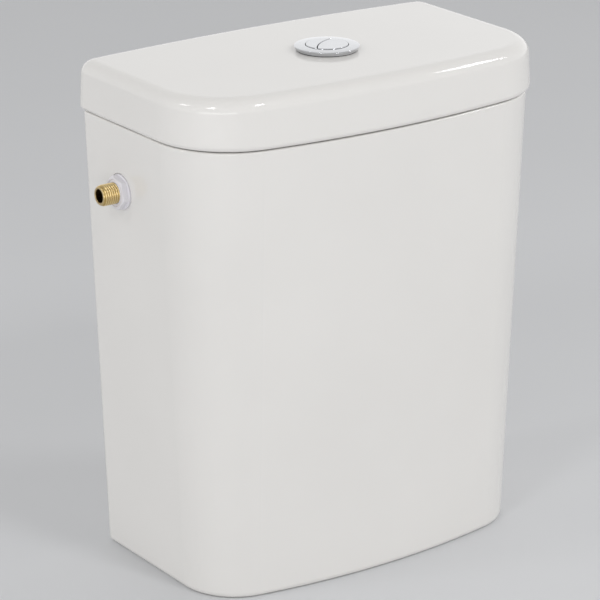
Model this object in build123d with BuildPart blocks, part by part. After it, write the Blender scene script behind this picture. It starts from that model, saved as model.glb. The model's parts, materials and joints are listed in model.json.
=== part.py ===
from build123d import *
import os
from math import asin, atan2, cos, degrees, pi, radians, sin, sqrt, tan

# Close-coupled toilet cistern: china tank and lid, dual-flush push button, flush valve and side fill valve.
# Millimetres. +Z up, +Y to the wall, -Y the bowed front, +X the right hand of a person who faces the front.
# The origin is on the flush outlet's axis, at the level of the tank's foot.

os.makedirs("parts", exist_ok=True)

# Shared allowances
overrun = 1.0
fit_gap = 0.1
running_gap = 0.3
pin_gap = 0.05

# Plan shape of lid and tank
lid_width = 340.0
lid_depth = 191.5
axis_offset = 3.25
front_bow = 20.0
front_corner = 66.0
lid_back_corner = 14.0

# Lid
lid_height = 38.5
lid_crown = 3.0
lid_draft = 2.0
lid_edge = 11.0
lid_lip = 4.0
lid_wall = 10.0
lid_roof = 10.0
lid_inner_edge = 7.0
lug_length = 40.0
lug_thickness = 6.0
lug_drop = 8.0
lug_root = 16.0
lug_gap = 2.0
lug_overlap = 4.0
back_lug_spacing = 180.0

# Tank
tank_height = 366.0
lid_overhang = 3.0
lid_back_overhang = 6.0
side_taper = 14.5
front_taper = 9.0
tank_wall = 9.0
tank_back_corner = 7.0
tank_inner_corner = 14.0
tank_foot_edge = 5.0
rim_edge = 1.5
floor_thickness = 10.0
floor_fillet = 8.0
recess_depth = 30.0
recess_land = 12.0
recess_corner = 12.0
recess_edge = 6.0
outlet_hole_diameter = 64.0
pan_bolt_spacing = 155.0
pan_bolt_hole_diameter = 11.0

# Soft pads between rim and lid
buffer_thickness = 1.0
buffer_length = 14.0
buffer_width = 5.0
buffer_reach = 33.0
buffer_middle = 33.0

# Push button
button_turn = 34.5
button_diameter = 33.0
button_proud = 0.5
button_slot = 0.7
split_radius = 37.0
split_apex = 5.6
button_bore_gap = 0.5
bezel_diameter = 51.3
bezel_height = 3.6
bezel_side_height = 3.1
bezel_dome = 0.1
bezel_tuck = 1.4
bezel_edge = 0.4
bezel_inner_edge = 0.3
gasket_inset = 1.9
gasket_thickness = 0.5
sleeve_diameter = 38.0
sleeve_length = 36.0
sleeve_lip = 1.6
sleeve_lip_height = 2.0
sleeve_pitch = 2.0
sleeve_thread_depth = 0.6
button_hole_diameter = 40.0
bezel_nut_diameter = 54.0
bezel_nut_height = 9.0
bezel_nut_lobe = 3.0
bezel_nut_lobes = 8
cradle_thickness = 3.0
button_plate = 3.5
button_skirt = 14.0
button_skirt_wall = 1.2
button_edge = 0.6
button_boss_diameter = 6.2
button_boss_length = 12.0
push_rod_diameter = 4.0
push_rod_grip = 8.0
push_foot_diameter = 5.6
push_foot_height = 2.7
press_travel = 4.5
spring_mean_radius = 3.7
spring_wire = 0.7
spring_turns = 7
spring_end_gap = 0.1

# Levers under the button
lever_drop = 31.0
lever_offset = 4.0
lever_thickness = 4.0
press_arm = 10.2
lift_arm = 20.4
lever_bar = 4.0
lever_boss_diameter = 6.0
pivot_boss_diameter = 9.0
pivot_boss_width = 7.0
lever_pin_diameter = 4.0
lever_pin_overhang = 1.0
push_foot_gap = 0.3
lug_lift_gap = 0.4

# Flush valve
outlet_bore_diameter = 51.0
outlet_bore_depth = 42.0
seat_bore_diameter = 48.0
tail_diameter = 59.6
tail_pitch = 2.309
tail_thread_depth = 1.2
tail_thread_end = 2.0
outlet_flange_diameter = 84.0
outlet_flange_thickness = 4.0
outlet_washer_thickness = 3.0
outlet_washer_diameter = 82.0
seat_height = 10.0
seat_wall = 6.0
seat_nose = 1.0
backnut_diameter = 82.0
backnut_height = 9.0
backnut_wing = 6.0
backnut_wings = 6
coupling_diameter = 88.0
coupling_foot_diameter = 74.0
coupling_foot_gap = 1.5
basket_wall = 4.0
basket_inset = 2.0
basket_height = 48.0
basket_top = 3.0
basket_sill = 4.0
basket_head = 4.0
basket_ports = 6
basket_port_width = 26.0
overflow_diameter = 30.0
overflow_wall = 2.0
overflow_below_rim = 116.0
overflow_dip = 7.0
overflow_flange_diameter = 40.0
overflow_flange_thickness = 3.0
seal_diameter = 63.0
seal_thickness = 3.0
seal_plate_diameter = 56.0
seal_plate_thickness = 4.0
seal_hub_wall = 3.0
seal_hub_height = 14.0
seal_rib_height = 8.0
seal_rib_thickness = 2.0
seal_ribs = 6
tower_diameter = 64.0
tower_wall = 4.0
tower_hoop = 8.0
tower_column_inset = 18.0
bridge_thickness = 5.0
bridge_ear_width = 14.0
post_thickness = 3.0
post_width = 11.0
post_clearance = 0.5
post_height = 31.0
post_crown = 5.5

# Lift rod and hook, full-flush side
lift_rod_diameter = 8.0
lift_rod_stem = 12.0
crossbar_width = 6.0
crossbar_height = 3.0
crosshead_rise = 4.0
crosshead_height = 5.0
crosshead_width = 14.0
hook_width = 4.0
hook_upright = 4.0
hook_upright_gap = 1.6
hook_lug_height = 4.5
hook_lug_reach = 4.4

# Lift rod and float, half-flush side
half_rod_diameter = 5.0
half_rod_reach = 39.0
half_rod_foot_rise = 29.0
half_lug_height = 3.6
half_lug_end = 3.0
half_float_height = 45.0
half_float_length = 26.0
half_float_width = 24.0
half_float_lift = 2.0
half_float_corner = 5.0
half_float_wall = 1.8
half_float_sleeve_wall = 1.8
half_float_gap = 1.6

# Inlet and fill valve
inlet_below_rim = 53.0
inlet_from_back = 59.0
inlet_hole_diameter = 18.5
inlet_seat_depth = 0.7
inlet_seat_margin = 0.8
inlet_thread_diameter = 16.66
inlet_pitch = 1.337
inlet_thread_depth = 0.86
inlet_clamp_diameter = 16.2
inlet_thread_gap = 0.3
inlet_bore_diameter = 10.5
inlet_reach = 20.5
inlet_end_chamfer = 0.7
inlet_shank_diameter = 14.0
inlet_shank_length = 16.0
inlet_washer_diameter = 30.0
inlet_washer_thickness = 3.0
locknut_flange_diameter = 27.8
locknut_flange_thickness = 2.0
locknut_across_flats = 24.0
locknut_height = 7.0
locknut_chamfer = 1.4
filter_wall = 0.9
filter_length = 13.0
filter_gap = 0.15
filter_slots = 6
filter_slot_width = 1.6
filter_inset = 6.0
filter_end = 2.0
fill_flange_thickness = 3.5
fill_reach = 52.0
fill_barrel_diameter = 20.0
fill_waterway_diameter = 8.0
fill_head_diameter = 34.0
fill_head_rise = 11.0
fill_head_drop = 13.0
fill_chamber_diameter = 22.0
fill_chamber_depth = 5.0
diaphragm_diameter = 30.0
diaphragm_thickness = 2.5
diaphragm_button_diameter = 10.0
diaphragm_button_rise = 1.5
fill_cap_diameter = 38.0
fill_cap_height = 10.0
fill_cap_roof = 3.0
fill_cap_nose = 6.0
fill_cap_nose_height = 4.0
fill_cap_grips = 24
fill_cap_grip = 1.2
stem_diameter = 20.0
stem_bore_diameter = 15.0
stem_length = 160.0
stem_collar_diameter = 26.0
stem_collar_height = 3.0
stem_tail = 22.0
discharge_wall = 1.8
discharge_cover = 15.0
discharge_floor_gap = 20.0
fill_lever_rise = 12.5
fill_lever_back = 14.0
fill_lever_arm = 38.0
fill_lever_width = 8.0
fill_lever_bar = 5.0
fill_lever_boss = 8.0
fill_lever_slot = 4.4
fill_lever_slot_width = 4.8
fill_lever_tip = 7.5
fill_pin_diameter = 3.0
fill_post_thickness = 3.0
fill_post_gap = 0.4
fill_post_length = 8.0
float_travel = 20.0
float_diameter = 58.0
float_height = 50.0
float_wall = 1.8
float_boss_diameter = 8.0
float_boss_height = 10.0
float_boss_rise = 3.0
float_rod_diameter = 4.0
float_rod_tail = 10.0
float_rod_top = 9.0
clip_diameter = 8.0
clip_height = 3.0
clip_gap = 1.5

# Places that follow from the sizes above
tank_floor = recess_depth + floor_thickness
lid_base = tank_height + buffer_thickness
lid_top = lid_base + lid_height
lid_peak = lid_top + lid_crown
lid_ceiling = lid_top - lid_roof
lid_half = lid_width / 2
lid_back = lid_depth / 2 + axis_offset
lid_front = lid_back - lid_depth
rim_half = lid_half - lid_overhang
foot_half = rim_half - side_taper
tank_back = lid_back - lid_back_overhang
rim_front = lid_front + lid_overhang
foot_front = rim_front + front_taper
pivot_z = tank_height - lever_drop
bridge_top = pivot_z - post_height
seat_bottom = tank_floor + outlet_washer_thickness
basket_base = seat_bottom + outlet_flange_thickness
seat_top = basket_base + seat_height
tower_base = basket_base + basket_height
overflow_top = tank_height - overflow_below_rim
seal_top = seat_top + seal_thickness
inlet_y = lid_back - inlet_from_back
inlet_z = tank_height - inlet_below_rim
lift_travel = press_travel * lift_arm / press_arm


def save(piece, name):
    piece.part.label = name
    export_step(piece.part, f"parts/{name}.step")


def circle_point(centre_x, centre_y, radius, angle):
    return (centre_x + radius * cos(angle), centre_y + radius * sin(angle))


def arc(centre_x, centre_y, radius, start, end):
    ends = [circle_point(centre_x, centre_y, radius, angle) for angle in (start, (start + end) / 2, end)]
    ThreePointArc(*ends)


def bowed_outline(height, half, back, front, corner, back_corner):
    """Sketch the plan shape: straight back and sides, large front corners, bowed front."""
    bow_radius = (half**2 + front_bow**2) / (2 * front_bow)
    bow_y = front + bow_radius
    corner_x = half - corner
    corner_y = bow_y - sqrt((bow_radius - corner) ** 2 - corner_x**2)
    turn = atan2(corner_y - bow_y, corner_x)
    back_x = half - back_corner
    back_y = back - back_corner
    with BuildSketch(Plane.XY.offset(height)) as plan:
        with BuildLine():
            Line((-back_x, back), (back_x, back))
            arc(back_x, back_y, back_corner, pi / 2, 0)
            Line((half, back_y), (half, corner_y))
            arc(corner_x, corner_y, corner, 0, turn)
            arc(0, bow_y, bow_radius, turn, -pi - turn)
            arc(-corner_x, corner_y, corner, -pi - turn, -pi)
            Line((-half, corner_y), (-half, back_y))
            arc(-back_x, back_y, back_corner, pi, pi / 2)
        make_face()
    return plan.sketch


def lid_outline(height, inset, back_corner):
    drawn_in = lid_draft * (height - lid_base) / lid_height + inset
    return bowed_outline(height, lid_half - drawn_in, lid_back - inset, lid_front + drawn_in,
                         front_corner - drawn_in, back_corner)


def tank_outline(height, inset, back_corner):
    share = (tank_height - height) / tank_height
    half = rim_half - side_taper * share - inset
    return bowed_outline(height, half, tank_back - inset, rim_front + front_taper * share + inset,
                         front_corner - lid_overhang - side_taper * share - inset, back_corner)


def tank_half_width(height):
    return rim_half - side_taper * (tank_height - height) / tank_height


def turned_plane(height):
    """A level plane whose X axis runs along the split between the two buttons."""
    return Plane.XY.offset(height).rotated((0, 0, button_turn))


along = Vector(cos(radians(button_turn)), sin(radians(button_turn)), 0)
across = Vector(-sin(radians(button_turn)), cos(radians(button_turn)), 0)


def lever_plane(along_pin):
    """An upright plane across the lever pin: X points from the full button to the half one."""
    return Plane(origin=along * along_pin + Vector(0, 0, pivot_z), x_dir=across, z_dir=along)


def thread_profile(root, crest, first, last, pitch):
    """Zigzag points of a ridged wall, as (radius, height), with flat crests one pitch apart."""
    flat = (crest - root) / 4
    turns = int((last - first) / pitch)
    points = [(root, first)]
    for turn in range(turns):
        middle = first + (turn + 1 / 2) * pitch
        points += [(root, middle - pitch / 2 + flat), (crest, middle - flat), (crest, middle + flat),
                   (root, middle + pitch / 2 - flat)]
    return points + [(root, last)]


# Hollows of the tank: the water space and the recess under its floor
with BuildPart() as tank_hollow:
    loft([tank_outline(tank_floor, tank_wall, tank_inner_corner),
          tank_outline(tank_height + overrun, tank_wall, tank_inner_corner)], ruled=True)
    fillet(tank_hollow.faces().sort_by(Axis.Z)[0].edges(), floor_fillet)

with BuildPart() as tank_recess:
    foot_corner = front_corner - lid_overhang - side_taper
    extrude(bowed_outline(-overrun, foot_half - recess_land, tank_back - recess_land, foot_front + recess_land,
                          foot_corner - recess_land, recess_corner), amount=recess_depth + overrun)
    fillet(tank_recess.faces().sort_by(Axis.Z)[-1].edges(), recess_edge)

# Inlet hole: stepped bore through the left wall, with a flat seat at each side of it
outer_seat_x = -tank_half_width(inlet_z) + inlet_seat_depth
inner_seat_x = -tank_half_width(inlet_z) + tank_wall - inlet_seat_depth
with BuildPart() as inlet_cut:
    with BuildSketch(Plane.YZ.offset(outer_seat_x - tank_wall)):
        with Locations((inlet_y, inlet_z)):
            Circle(inlet_hole_diameter / 2)
    extrude(amount=inner_seat_x - outer_seat_x + 2 * tank_wall)
    with BuildSketch(Plane.YZ.offset(outer_seat_x - tank_wall)):
        with Locations((inlet_y, inlet_z)):
            Circle(locknut_flange_diameter / 2 + inlet_seat_margin)
    extrude(amount=tank_wall)
    with BuildSketch(Plane.YZ.offset(inner_seat_x)):
        with Locations((inlet_y, inlet_z)):
            Circle(inlet_washer_diameter / 2 + inlet_seat_margin)
    extrude(amount=tank_wall)

# Tank: tapered china box with a raised floor over a recess for the pan coupling
with BuildPart() as tank:
    loft([tank_outline(0, 0, tank_back_corner), tank_outline(tank_height, 0, tank_back_corner)], ruled=True)
    fillet(tank.faces().sort_by(Axis.Z)[0].edges(), tank_foot_edge)
    add(tank_hollow.part, mode=Mode.SUBTRACT)
    add(tank_recess.part, mode=Mode.SUBTRACT)
    add(inlet_cut.part, mode=Mode.SUBTRACT)
    fillet(tank.faces().sort_by(Axis.Z)[-1].edges(), rim_edge)
    with BuildSketch(Plane.XY.offset(recess_depth - overrun)):
        Circle(outlet_hole_diameter / 2)
        with GridLocations(pan_bolt_spacing, 0, 2, 1):
            Circle(pan_bolt_hole_diameter / 2)
    extrude(amount=floor_thickness + 2 * overrun, mode=Mode.SUBTRACT)
save(tank, "tank")

# Buffers: four soft pads on the rim that carry the lid
buffer_x = rim_half - tank_wall / 2
with BuildPart() as lid_buffers:
    with BuildSketch(Plane.XY.offset(tank_height)):
        for side in (-1, 1):
            for reach in (-buffer_reach, buffer_reach):
                with Locations(Location((side * buffer_x, buffer_middle + reach), 90)):
                    SlotOverall(buffer_length, buffer_width)
    extrude(amount=buffer_thickness)
save(lid_buffers, "lid_buffers")

# Hollow of the lid
with BuildPart() as lid_hollow:
    loft([lid_outline(lid_base - overrun, lid_wall, lid_back_corner),
          lid_outline(lid_ceiling, lid_wall, lid_back_corner)], ruled=True)
    fillet(lid_hollow.faces().sort_by(Axis.Z)[-1].edges(), lid_inner_edge)

# Lid: crowned china cap with lugs that drop inside the rim
lug_outer_x = rim_half - tank_wall - lug_gap
lug_back_y = tank_back - tank_wall - lug_gap
crown_radius = (lid_half**2 + lid_crown**2) / (2 * lid_crown)
with BuildPart() as lid:
    loft([lid_outline(lid_base, 0, lid_back_corner), lid_outline(lid_peak + overrun, 0, lid_back_corner)],
         ruled=True)
    with BuildSketch(Plane.XZ):
        with Locations((0, lid_peak - crown_radius)):
            Circle(crown_radius)
    extrude(amount=lid_depth, both=True, mode=Mode.INTERSECT)
    fillet(lid.faces().sort_by(Axis.Z)[-1].edges(), lid_edge)
    fillet(lid.faces().sort_by(Axis.Z)[0].edges(), lid_lip)
    add(lid_hollow.part, mode=Mode.SUBTRACT)
    with BuildSketch(Plane.XY.offset(lid_base - lug_drop)):
        for side in (-1, 1):
            with Locations((side * (lug_outer_x - lug_thickness / 2), 0)):
                Rectangle(lug_thickness, lug_length)
            with Locations((side * back_lug_spacing / 2, lug_back_y - lug_thickness / 2)):
                Rectangle(lug_length, lug_thickness)
    extrude(amount=lug_drop + lug_root)
    with BuildSketch(Plane.XY.offset(lid_base + lug_gap)):
        for side in (-1, 1):
            with Locations((side * (lug_outer_x + lug_overlap / 2), 0)):
                Rectangle(lug_thickness + lug_overlap, lug_length)
            with Locations((side * back_lug_spacing / 2, lug_back_y + lug_overlap)):
                Rectangle(lug_length, lug_thickness + 2 * lug_overlap)
    extrude(amount=lug_root - lug_gap)
    with BuildSketch(Plane.XY.offset(lid_ceiling - overrun)):
        Circle(button_hole_diameter / 2)
    extrude(amount=lid_roof + lid_crown + 2 * overrun, mode=Mode.SUBTRACT)
save(lid, "lid")

# Bezel: chromed ring with a gently domed top and a threaded sleeve that hangs through the lid
bezel_base = lid_peak + gasket_thickness
bezel_top = bezel_base + bezel_height
bezel_shoulder = bezel_base + bezel_side_height
button_top = bezel_top + button_proud
bezel_radius = bezel_diameter / 2
sleeve_radius = sleeve_diameter / 2
bore_radius = button_diameter / 2 + button_bore_gap
sleeve_foot = bezel_base - sleeve_length
with BuildPart() as button_bezel:
    with BuildSketch(Plane.XZ):
        with BuildLine():
            ThreePointArc(
                (bore_radius, bezel_top),
                ((bore_radius + bezel_radius) / 2, (bezel_top + bezel_shoulder) / 2 + bezel_dome),
                (bezel_radius, bezel_shoulder),
            )
            Polyline(
                (bezel_radius, bezel_shoulder),
                (bezel_radius - bezel_tuck, bezel_base),
                (sleeve_radius - sleeve_thread_depth, bezel_base),
                *[(radius, -height) for radius, height in thread_profile(
                    sleeve_radius - sleeve_thread_depth, sleeve_radius, -lid_peak, -sleeve_foot, sleeve_pitch)],
                (bore_radius - sleeve_lip, sleeve_foot),
                (bore_radius - sleeve_lip, sleeve_foot + sleeve_lip_height),
                (bore_radius, sleeve_foot + sleeve_lip_height),
                (bore_radius, bezel_top),
            )
        make_face()
    revolve(axis=Axis.Z)
    rim = button_bezel.edges().filter_by(GeomType.CIRCLE).filter_by(
        lambda edge: abs(edge.radius - bezel_radius) < fit_gap)
    fillet(rim, bezel_edge)
    mouth = button_bezel.edges().filter_by(GeomType.CIRCLE).group_by(Axis.Z)[-1]
    fillet(mouth, bezel_inner_edge)
save(button_bezel, "button_bezel")

with BuildPart() as bezel_gasket:
    with BuildSketch(Plane.XY.offset(lid_peak)):
        Circle(bezel_radius - gasket_inset)
        Circle(sleeve_radius + fit_gap, mode=Mode.SUBTRACT)
    extrude(amount=gasket_thickness)
save(bezel_gasket, "bezel_gasket")

with BuildPart() as bezel_nut:
    with BuildSketch(Plane.XY.offset(lid_ceiling - bezel_nut_height)):
        Circle(bezel_nut_diameter / 2 - bezel_nut_lobe)
        with PolarLocations(bezel_nut_diameter / 2 - bezel_nut_lobe, bezel_nut_lobes):
            Circle(bezel_nut_lobe)
        Circle(sleeve_radius + fit_gap, mode=Mode.SUBTRACT)
    extrude(amount=bezel_nut_height)
save(bezel_nut, "bezel_nut")

# Cradle: the sleeve's floor, which guides both rods and carries both springs
cradle_base = sleeve_foot + sleeve_lip_height
cradle_top = cradle_base + cradle_thickness
rod_places = {"full": (lever_offset, -press_arm), "half": (-lever_offset, press_arm)}
with BuildPart() as button_cradle:
    with BuildSketch(turned_plane(cradle_base)):
        Circle(bore_radius - fit_gap)
        with Locations(*rod_places.values()):
            Circle(push_rod_diameter / 2 + running_gap, mode=Mode.SUBTRACT)
    extrude(amount=cradle_thickness)
save(button_cradle, "button_cradle")

# Buttons: one round plunger cut in two by a curved slot
split_centre = split_apex - split_radius
button_radius = button_diameter / 2
plate_bottom = button_top - button_plate


def button_face(flush, inner_radius):
    """Sketch one button's share of the round face, outside inner_radius."""
    Circle(button_radius)
    if inner_radius > 0:
        Circle(inner_radius, mode=Mode.SUBTRACT)
    with Locations((0, split_centre)):
        if flush == "full":
            Circle(split_radius - button_slot / 2, mode=Mode.INTERSECT)
        else:
            Circle(split_radius + button_slot / 2, mode=Mode.SUBTRACT)


for flush in ("full", "half"):
    with BuildPart() as button:
        with BuildSketch(turned_plane(plate_bottom)):
            button_face(flush, 0)
        extrude(amount=button_plate)
        fillet(button.faces().sort_by(Axis.Z)[-1].edges(), button_edge)
        with BuildSketch(turned_plane(button_top - button_skirt)):
            button_face(flush, button_radius - button_skirt_wall)
        extrude(amount=button_skirt - button_plate)
        with BuildSketch(turned_plane(plate_bottom - button_boss_length)):
            with Locations(rod_places[flush]):
                Circle(button_boss_diameter / 2)
                Circle(push_rod_diameter / 2 + fit_gap, mode=Mode.SUBTRACT)
        extrude(amount=button_boss_length)
    save(button, f"{flush}_flush_button")

    # Push rod: screwed into the button's boss, with a foot that meets its lever
    foot_bottom = pivot_z + lever_boss_diameter / 2 + push_foot_gap
    rod_top = plate_bottom - button_boss_length + push_rod_grip
    with BuildPart() as push_rod:
        with BuildSketch(turned_plane(foot_bottom)):
            with Locations(rod_places[flush]):
                Circle(push_foot_diameter / 2)
        extrude(amount=push_foot_height)
        with BuildSketch(turned_plane(foot_bottom)):
            with Locations(rod_places[flush]):
                Circle(push_rod_diameter / 2)
        extrude(amount=rod_top - foot_bottom)
    save(push_rod, f"{flush}_push_rod")


def helix_point(place, radius, turn, turns, low, high):
    angle = 2 * pi * turn
    height = low + (high - low) * turn / turns
    return Vector(place[0] + radius * cos(angle), place[1] + radius * sin(angle), height)


def helix_tangent(radius, turn, pitch):
    angle = 2 * pi * turn
    return Vector(-sin(angle), cos(angle), pitch / (2 * pi * radius)).normalized()


def half_turn_arcs(start, start_way, end, end_way):
    """Join two helix points by two arcs that meet in one tangent."""
    chord = end - start
    ways = start_way + end_way
    square = ways.dot(ways)
    bend = (-chord.dot(ways) + sqrt(chord.dot(ways) ** 2 + chord.dot(chord) * (4 - square))) / (4 - square)
    joint = (start + end + (start_way - end_way) * bend) / 2
    first = TangentArc(start, joint, tangent=start_way)
    TangentArc(joint, end, tangent=first % 1)


# Return springs: one tube each, wound round its rod between cradle and button
spring_low = cradle_top + spring_wire / 2 + spring_end_gap
spring_high = plate_bottom - spring_wire / 2 - spring_end_gap
spring_pitch = (spring_high - spring_low) / spring_turns
spring_steps = 4 * spring_turns
print("spring: least gap between turns", round(spring_pitch - spring_wire, 3))
for flush, place in rod_places.items():
    centre = along * place[0] + across * place[1]
    stations = [step / 4 for step in range(spring_steps + 1)]
    points = [helix_point((centre.X, centre.Y), spring_mean_radius, turn, spring_turns, spring_low, spring_high)
              for turn in stations]
    ways = [helix_tangent(spring_mean_radius, turn, spring_pitch) for turn in stations]
    with BuildPart() as spring:
        with BuildLine() as coil:
            for step in range(spring_steps):
                half_turn_arcs(points[step], ways[step], points[step + 1], ways[step + 1])
        with BuildSketch(Plane(points[0], z_dir=ways[0])):
            Circle(spring_wire / 2)
        sweep()
    save(spring, f"{flush}_button_spring")

# Outlet body: flange, raised seat and threaded tail of the flush valve
outlet_bore = outlet_bore_diameter / 2
seat_bore = seat_bore_diameter / 2
tail_radius = tail_diameter / 2
with BuildPart() as outlet_body:
    with BuildSketch(Plane.XZ):
        with BuildLine():
            Polyline(
                (outlet_bore, 0),
                *thread_profile(tail_radius - tail_thread_depth, tail_radius, 0,
                                tank_floor - tail_thread_end, tail_pitch),
                (tail_radius - tail_thread_depth, seat_bottom),
                (outlet_flange_diameter / 2, seat_bottom),
                (outlet_flange_diameter / 2, basket_base),
                (seat_bore + seat_wall, basket_base),
                (seat_bore + seat_wall, seat_top - seat_nose),
                (seat_bore + seat_wall - seat_nose, seat_top),
                (seat_bore + seat_nose, seat_top),
                (seat_bore, seat_top - seat_nose),
                (seat_bore, outlet_bore_depth),
                (outlet_bore, outlet_bore_depth),
                close=True,
            )
        make_face()
    revolve(axis=Axis.Z)
save(outlet_body, "outlet_body")

with BuildPart() as outlet_washer:
    with BuildSketch(Plane.XY.offset(tank_floor)):
        Circle(outlet_washer_diameter / 2)
        Circle(tail_radius + fit_gap, mode=Mode.SUBTRACT)
    extrude(amount=outlet_washer_thickness)
save(outlet_washer, "outlet_washer")

# Backnut: winged ring that draws the outlet body down from under the floor
backnut_base = recess_depth - backnut_height
with BuildPart() as outlet_backnut:
    with BuildSketch(Plane.XY.offset(backnut_base)):
        Circle(backnut_diameter / 2 - backnut_wing)
        with PolarLocations(backnut_diameter / 2 - backnut_wing, backnut_wings):
            Circle(backnut_wing)
        Circle(tail_radius + fit_gap, mode=Mode.SUBTRACT)
    extrude(amount=backnut_height)
save(outlet_backnut, "outlet_backnut")

# Coupling gasket: soft cone round the tail that seals tank to pan
with BuildPart() as coupling_gasket:
    with BuildSketch(Plane.XZ):
        with BuildLine():
            Polyline(
                (tail_radius + fit_gap, coupling_foot_gap),
                (coupling_foot_diameter / 2, coupling_foot_gap),
                (coupling_diameter / 2, backnut_base - (coupling_diameter - coupling_foot_diameter) / 2),
                (coupling_diameter / 2, backnut_base),
                (tail_radius + fit_gap, backnut_base),
                close=True,
            )
        make_face()
    revolve(axis=Axis.Z)
save(coupling_gasket, "coupling_gasket")

# Basket: ported cage over the seat, whose roof guides the overflow tube
overflow_radius = overflow_diameter / 2
basket_radius = outlet_flange_diameter / 2 - basket_inset
with BuildPart() as valve_basket:
    with BuildSketch(Plane.XY.offset(basket_base)):
        Circle(basket_radius)
        Circle(basket_radius - basket_wall, mode=Mode.SUBTRACT)
    extrude(amount=basket_height)
    with BuildSketch(Plane.XY.offset(tower_base - basket_top)):
        Circle(basket_radius)
        Circle(overflow_radius + running_gap, mode=Mode.SUBTRACT)
    extrude(amount=basket_top)
    port_height = basket_height - basket_sill - basket_head - basket_top
    with PolarLocations(0, basket_ports, start_angle=button_turn):
        with Locations((basket_radius, 0, basket_base + basket_sill + port_height / 2)):
            Box(4 * basket_wall, basket_port_width, port_height, mode=Mode.SUBTRACT)
save(valve_basket, "valve_basket")

# Tower: two columns joined by hoops, from the basket up to the bridge
tower_radius = tower_diameter / 2
bridge_base = bridge_top - bridge_thickness
tower_height = bridge_base - tower_base
tower_window = (tower_height - 3 * tower_hoop) / 2
window_width = tower_diameter - 2 * tower_column_inset
with BuildPart() as tower_frame:
    with BuildSketch(Plane.XY.offset(tower_base)):
        Circle(tower_radius)
        Circle(tower_radius - tower_wall, mode=Mode.SUBTRACT)
    extrude(amount=tower_height)
    for window_base in (tower_base + tower_hoop, tower_base + 2 * tower_hoop + tower_window):
        with BuildSketch(turned_plane(window_base)):
            Rectangle(window_width, tower_diameter + 2 * overrun)
        extrude(amount=tower_window, mode=Mode.SUBTRACT)
save(tower_frame, "tower_frame")

# Bridge: head of the tower, with the lever posts and the half-flush rod's guide
post_u = lever_offset + pivot_boss_width / 2 + post_clearance + post_thickness / 2
with BuildPart() as top_bridge:
    with BuildSketch(turned_plane(bridge_base)):
        Circle(tower_radius)
        with Locations((-lever_offset, -half_rod_reach / 2)):
            Rectangle(bridge_ear_width, half_rod_reach)
        with Locations((-lever_offset, -half_rod_reach)):
            Circle(bridge_ear_width / 2)
            Circle(half_rod_diameter / 2 + running_gap, mode=Mode.SUBTRACT)
        Circle(lift_rod_diameter / 2 + running_gap, mode=Mode.SUBTRACT)
    extrude(amount=bridge_thickness)
    for side in (-1, 1):
        with BuildSketch(lever_plane(side * post_u)):
            Circle(post_crown)
            with Locations((0, -post_height / 2)):
                Rectangle(post_width, post_height)
            Circle(lever_pin_diameter / 2 + fit_gap, mode=Mode.SUBTRACT)
        extrude(amount=post_thickness / 2, both=True)
save(top_bridge, "top_bridge")

pin_half = post_u + post_thickness / 2 + lever_pin_overhang
with BuildPart() as lever_pin:
    with BuildSketch(lever_plane(0)):
        Circle(lever_pin_diameter / 2)
    extrude(amount=pin_half, both=True)
save(lever_pin, "lever_pin")

# Levers: the push arm goes down and the lift arm, twice as long, goes up
for flush, side in (("full", 1), ("half", -1)):
    with BuildPart() as lever:
        with BuildSketch(lever_plane(side * lever_offset)):
            with Locations((-side * press_arm, 0), (side * lift_arm, 0)):
                Circle(lever_boss_diameter / 2)
            with Locations((side * (lift_arm - press_arm) / 2, 0)):
                Rectangle(lift_arm + press_arm, lever_bar)
        extrude(amount=lever_thickness / 2, both=True)
        with BuildSketch(lever_plane(side * lever_offset)):
            Circle(pivot_boss_diameter / 2)
        extrude(amount=pivot_boss_width / 2, both=True)
        with BuildSketch(lever_plane(side * lever_offset)):
            Circle(lever_pin_diameter / 2 + pin_gap)
        extrude(amount=pivot_boss_width, both=True, mode=Mode.SUBTRACT)
    save(lever, f"{flush}_flush_lever")

# Overflow tube: open at the top, and carries the seal at its foot
overflow_bore = overflow_radius - overflow_wall
with BuildPart() as overflow_tube:
    with BuildSketch(Plane.XY.offset(seat_top - overflow_dip)):
        Circle(overflow_radius)
    extrude(amount=overflow_top - seat_top + overflow_dip)
    with BuildSketch(Plane.XY.offset(seat_top - overflow_flange_thickness)):
        Circle(overflow_flange_diameter / 2)
    extrude(amount=overflow_flange_thickness)
    with BuildSketch(Plane.XY.offset(seat_top - overflow_dip - overrun)):
        Circle(overflow_bore)
    extrude(amount=overflow_top - seat_top + overflow_dip + 2 * overrun, mode=Mode.SUBTRACT)
save(overflow_tube, "overflow_tube")

with BuildPart() as seal_washer:
    with BuildSketch(Plane.XY.offset(seat_top)):
        Circle(seal_diameter / 2)
        Circle(overflow_radius + fit_gap, mode=Mode.SUBTRACT)
    extrude(amount=seal_thickness)
save(seal_washer, "seal_washer")

hub_radius = overflow_radius + fit_gap + seal_hub_wall
with BuildPart() as seal_plate:
    with BuildSketch(Plane.XY.offset(seal_top)):
        Circle(seal_plate_diameter / 2)
    extrude(amount=seal_plate_thickness)
    with BuildSketch(Plane.XY.offset(seal_top)):
        Circle(hub_radius)
    extrude(amount=seal_hub_height)
    with BuildSketch(Plane.XY.offset(seal_top)):
        rib_length = seal_plate_diameter / 2 - overflow_radius - seal_rib_thickness
        with PolarLocations(overflow_radius + rib_length / 2, seal_ribs):
            Rectangle(rib_length, seal_rib_thickness)
    extrude(amount=seal_rib_height)
    with BuildSketch(Plane.XY.offset(seal_top - overrun)):
        Circle(overflow_radius + fit_gap)
    extrude(amount=seal_hub_height + 2 * overrun, mode=Mode.SUBTRACT)
save(seal_plate, "seal_plate")

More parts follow.
